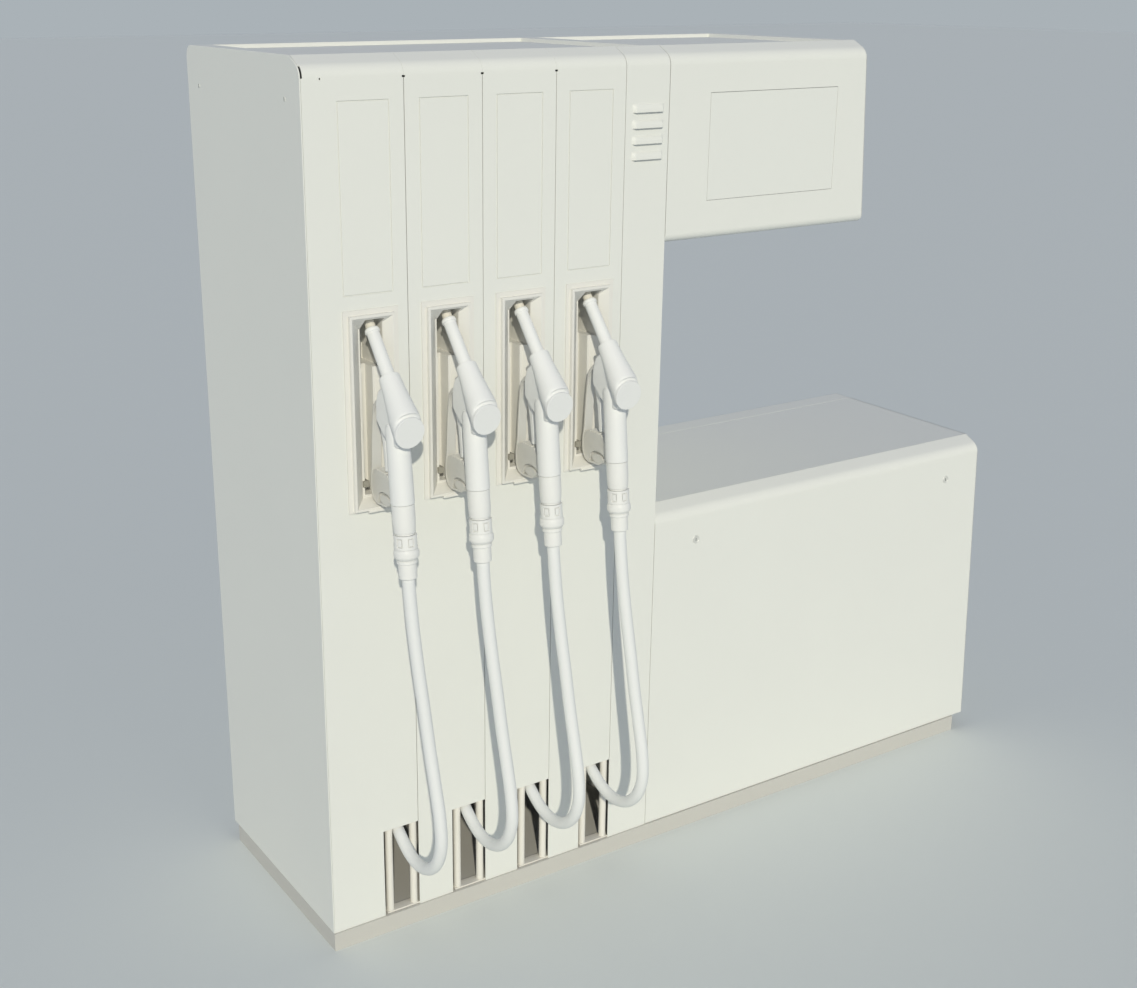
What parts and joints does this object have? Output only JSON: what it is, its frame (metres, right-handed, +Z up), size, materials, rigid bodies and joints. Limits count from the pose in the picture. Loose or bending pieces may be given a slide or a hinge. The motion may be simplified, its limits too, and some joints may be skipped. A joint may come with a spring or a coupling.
{
  "type": "fuel dispenser",
  "caption": "Free-standing fuel dispenser: hose column with hanging nozzles and U-shaped hoses, a side electronics head with display, and a low hydraulics cabinet with a lean-in end.",
  "frame": {"origin": "middle of the underside of the machine, on the floor, without its hoses", "axes": "+X to the right along the front, -Y out of the front towards the customer, +Z up"},
  "size_m": [2.3, 0.8964, 2.2],
  "materials": {
    "powder_coat": "off-white powder coat with a fine orange-peel texture",
    "boot_plastic": "off-white moulded plastic, matt",
    "nozzle_plastic": "white moulded plastic, satin",
    "spout_sleeve": "white sleeve over a cream spout",
    "coupling_plastic": "white moulded coupling, satin",
    "hose_rubber": "off-white smooth rubber cover",
    "roller_plastic": "cream plastic rollers",
    "pulley_plastic": "grey moulded nylon",
    "zinc_steel": "zinc-plated steel",
    "pipe_iron": "grey painted iron casting",
    "display_pane": "off-white display pane, satin",
    "module_case": "grey painted sheet case",
    "lock_metal": "off-white coated lock barrel",
    "motor_paint": "blue-grey machine paint",
    "belt_rubber": "black drive belt",
    "meter_aluminium": "sand-cast aluminium"
  },
  "bodies": {
    "root": {"plinth": "powder_coat", "column_side_left": "powder_coat", "column_wall_right": "powder_coat", "column_back": "powder_coat", "column_roof": "powder_coat", "vent_panel": "powder_coat", "head_shell": "powder_coat", "cabinet_back": "powder_coat", "cabinet_roof": "powder_coat", "cabinet_end": "powder_coat", "hose_panel_1": "powder_coat", "hose_panel_2": "powder_coat", "hose_panel_3": "powder_coat", "hose_panel_4": "powder_coat", "nozzle_boot_1": "boot_plastic", "hose_1": "hose_rubber", "hose_guide_1": "roller_plastic", "nozzle_boot_2": "boot_plastic", "hose_2": "hose_rubber", "hose_guide_2": "roller_plastic", "nozzle_boot_3": "boot_plastic", "hose_3": "hose_rubber", "hose_guide_3": "roller_plastic", "nozzle_boot_4": "boot_plastic", "hose_4": "hose_rubber", "hose_guide_4": "roller_plastic", "pulley_axle": "zinc_steel", "outlet_manifold": "pipe_iron", "display_module": "module_case", "motor": "motor_paint", "pump_unit": "pipe_iron", "drive_belt": "belt_rubber", "meter_block": "meter_aluminium"},
    "nozzle_1": {"nozzle_body_1": "nozzle_plastic", "nozzle_spout_1": "spout_sleeve"},
    "trigger_1": {"nozzle_trigger_1": "nozzle_plastic"},
    "swivel_1": {"nozzle_swivel_1": "coupling_plastic"},
    "pulley_1": {"hose_pulley_1": "pulley_plastic"},
    "nozzle_2": {"nozzle_body_2": "nozzle_plastic", "nozzle_spout_2": "spout_sleeve"},
    "trigger_2": {"nozzle_trigger_2": "nozzle_plastic"},
    "swivel_2": {"nozzle_swivel_2": "coupling_plastic"},
    "pulley_2": {"hose_pulley_2": "pulley_plastic"},
    "nozzle_3": {"nozzle_body_3": "nozzle_plastic", "nozzle_spout_3": "spout_sleeve"},
    "trigger_3": {"nozzle_trigger_3": "nozzle_plastic"},
    "swivel_3": {"nozzle_swivel_3": "coupling_plastic"},
    "pulley_3": {"hose_pulley_3": "pulley_plastic"},
    "nozzle_4": {"nozzle_body_4": "nozzle_plastic", "nozzle_spout_4": "spout_sleeve"},
    "trigger_4": {"nozzle_trigger_4": "nozzle_plastic"},
    "swivel_4": {"nozzle_swivel_4": "coupling_plastic"},
    "pulley_4": {"hose_pulley_4": "pulley_plastic"},
    "cabinet_front_panel": {"cabinet_front": "powder_coat"},
    "lock_left_body": {"lock_left": "lock_metal"},
    "lock_right_body": {"lock_right": "lock_metal"},
    "head_door_leaf": {"head_door": "powder_coat", "display_window": "display_pane"},
    "motor_pulley_wheel": {"motor_pulley": "zinc_steel"},
    "pump_pulley_wheel": {"pump_pulley": "zinc_steel"}
  },
  "joints": [
    {"name": "nozzle_1_lift_out", "type": "slide", "parent": "root", "child": "nozzle_1", "axis": [0, -0.9848, 0.1736], "range_m": [0, 0.25]},
    {"name": "trigger_1_squeeze", "type": "hinge", "parent": "nozzle_1", "child": "trigger_1", "pos_m": [-0.9895, -0.2776, 1.402], "axis": [-1, 0, 0], "range_deg": [0, 8], "stiffness_Nm_per_rad": 1.5},
    {"name": "swivel_1_turn", "type": "hinge", "parent": "nozzle_1", "child": "swivel_1", "pos_m": [-0.9895, -0.3592, 1.213], "axis": [0, -0.1094, -0.994], "continuous": true},
    {"name": "pulley_1_spin", "type": "hinge", "parent": "root", "child": "pulley_1", "pos_m": [-0.9505, 0.0404, 1.8], "axis": [1, 0, 0], "continuous": true},
    {"name": "nozzle_2_lift_out", "type": "slide", "parent": "root", "child": "nozzle_2", "axis": [0, -0.9848, 0.1736], "range_m": [0, 0.25]},
    {"name": "trigger_2_squeeze", "type": "hinge", "parent": "nozzle_2", "child": "trigger_2", "pos_m": [-0.7875, -0.2776, 1.402], "axis": [-1, 0, 0], "range_deg": [0, 8], "stiffness_Nm_per_rad": 1.5},
    {"name": "swivel_2_turn", "type": "hinge", "parent": "nozzle_2", "child": "swivel_2", "pos_m": [-0.7875, -0.3592, 1.213], "axis": [0, -0.1094, -0.994], "continuous": true},
    {"name": "pulley_2_spin", "type": "hinge", "parent": "root", "child": "pulley_2", "pos_m": [-0.7485, 0.0404, 1.8], "axis": [1, 0, 0], "continuous": true},
    {"name": "nozzle_3_lift_out", "type": "slide", "parent": "root", "child": "nozzle_3", "axis": [0, -0.9848, 0.1736], "range_m": [0, 0.25]},
    {"name": "trigger_3_squeeze", "type": "hinge", "parent": "nozzle_3", "child": "trigger_3", "pos_m": [-0.5855, -0.2776, 1.402], "axis": [-1, 0, 0], "range_deg": [0, 8], "stiffness_Nm_per_rad": 1.5},
    {"name": "swivel_3_turn", "type": "hinge", "parent": "nozzle_3", "child": "swivel_3", "pos_m": [-0.5855, -0.3592, 1.213], "axis": [0, -0.1094, -0.994], "continuous": true},
    {"name": "pulley_3_spin", "type": "hinge", "parent": "root", "child": "pulley_3", "pos_m": [-0.5465, 0.0404, 1.8], "axis": [1, 0, 0], "continuous": true},
    {"name": "nozzle_4_lift_out", "type": "slide", "parent": "root", "child": "nozzle_4", "axis": [0, -0.9848, 0.1736], "range_m": [0, 0.25]},
    {"name": "trigger_4_squeeze", "type": "hinge", "parent": "nozzle_4", "child": "trigger_4", "pos_m": [-0.3835, -0.2776, 1.402], "axis": [-1, 0, 0], "range_deg": [0, 8], "stiffness_Nm_per_rad": 1.5},
    {"name": "swivel_4_turn", "type": "hinge", "parent": "nozzle_4", "child": "swivel_4", "pos_m": [-0.3835, -0.3592, 1.213], "axis": [0, -0.1094, -0.994], "continuous": true},
    {"name": "pulley_4_spin", "type": "hinge", "parent": "root", "child": "pulley_4", "pos_m": [-0.3445, 0.0404, 1.8], "axis": [1, 0, 0], "continuous": true},
    {"name": "cabinet_front_tilt", "type": "hinge", "parent": "root", "child": "cabinet_front_panel", "pos_m": [0.49, -0.2396, 0.0503], "axis": [1, 0, 0], "range_deg": [0, 75]},
    {"name": "lock_left_turn", "type": "hinge", "parent": "cabinet_front_panel", "child": "lock_left_body", "pos_m": [-0.0175, -0.2396, 0.8935], "axis": [0, 1, 0], "range_deg": [0, 90]},
    {"name": "lock_right_turn", "type": "hinge", "parent": "cabinet_front_panel", "child": "lock_right_body", "pos_m": [0.9635, -0.2396, 0.8935], "axis": [0, 1, 0], "range_deg": [0, 90]},
    {"name": "head_door_swing", "type": "hinge", "parent": "root", "child": "head_door_leaf", "pos_m": [-0.1606, -0.2396, 1.96], "axis": [0, 0, -1], "range_deg": [0, 95]},
    {"name": "pump_pulley_spin", "type": "hinge", "parent": "root", "child": "pump_pulley_wheel", "pos_m": [0.75, -0.0896, 0.3], "axis": [0, 1, 0], "continuous": true},
    {"name": "motor_pulley_spin", "type": "hinge", "parent": "root", "child": "motor_pulley_wheel", "pos_m": [0.41, -0.0896, 0.3], "axis": [0, 1, 0], "continuous": true}
  ],
  "couplings": [
    {"joint": "motor_pulley_spin", "follows": "pump_pulley_spin", "ratio": 2}
  ]
}
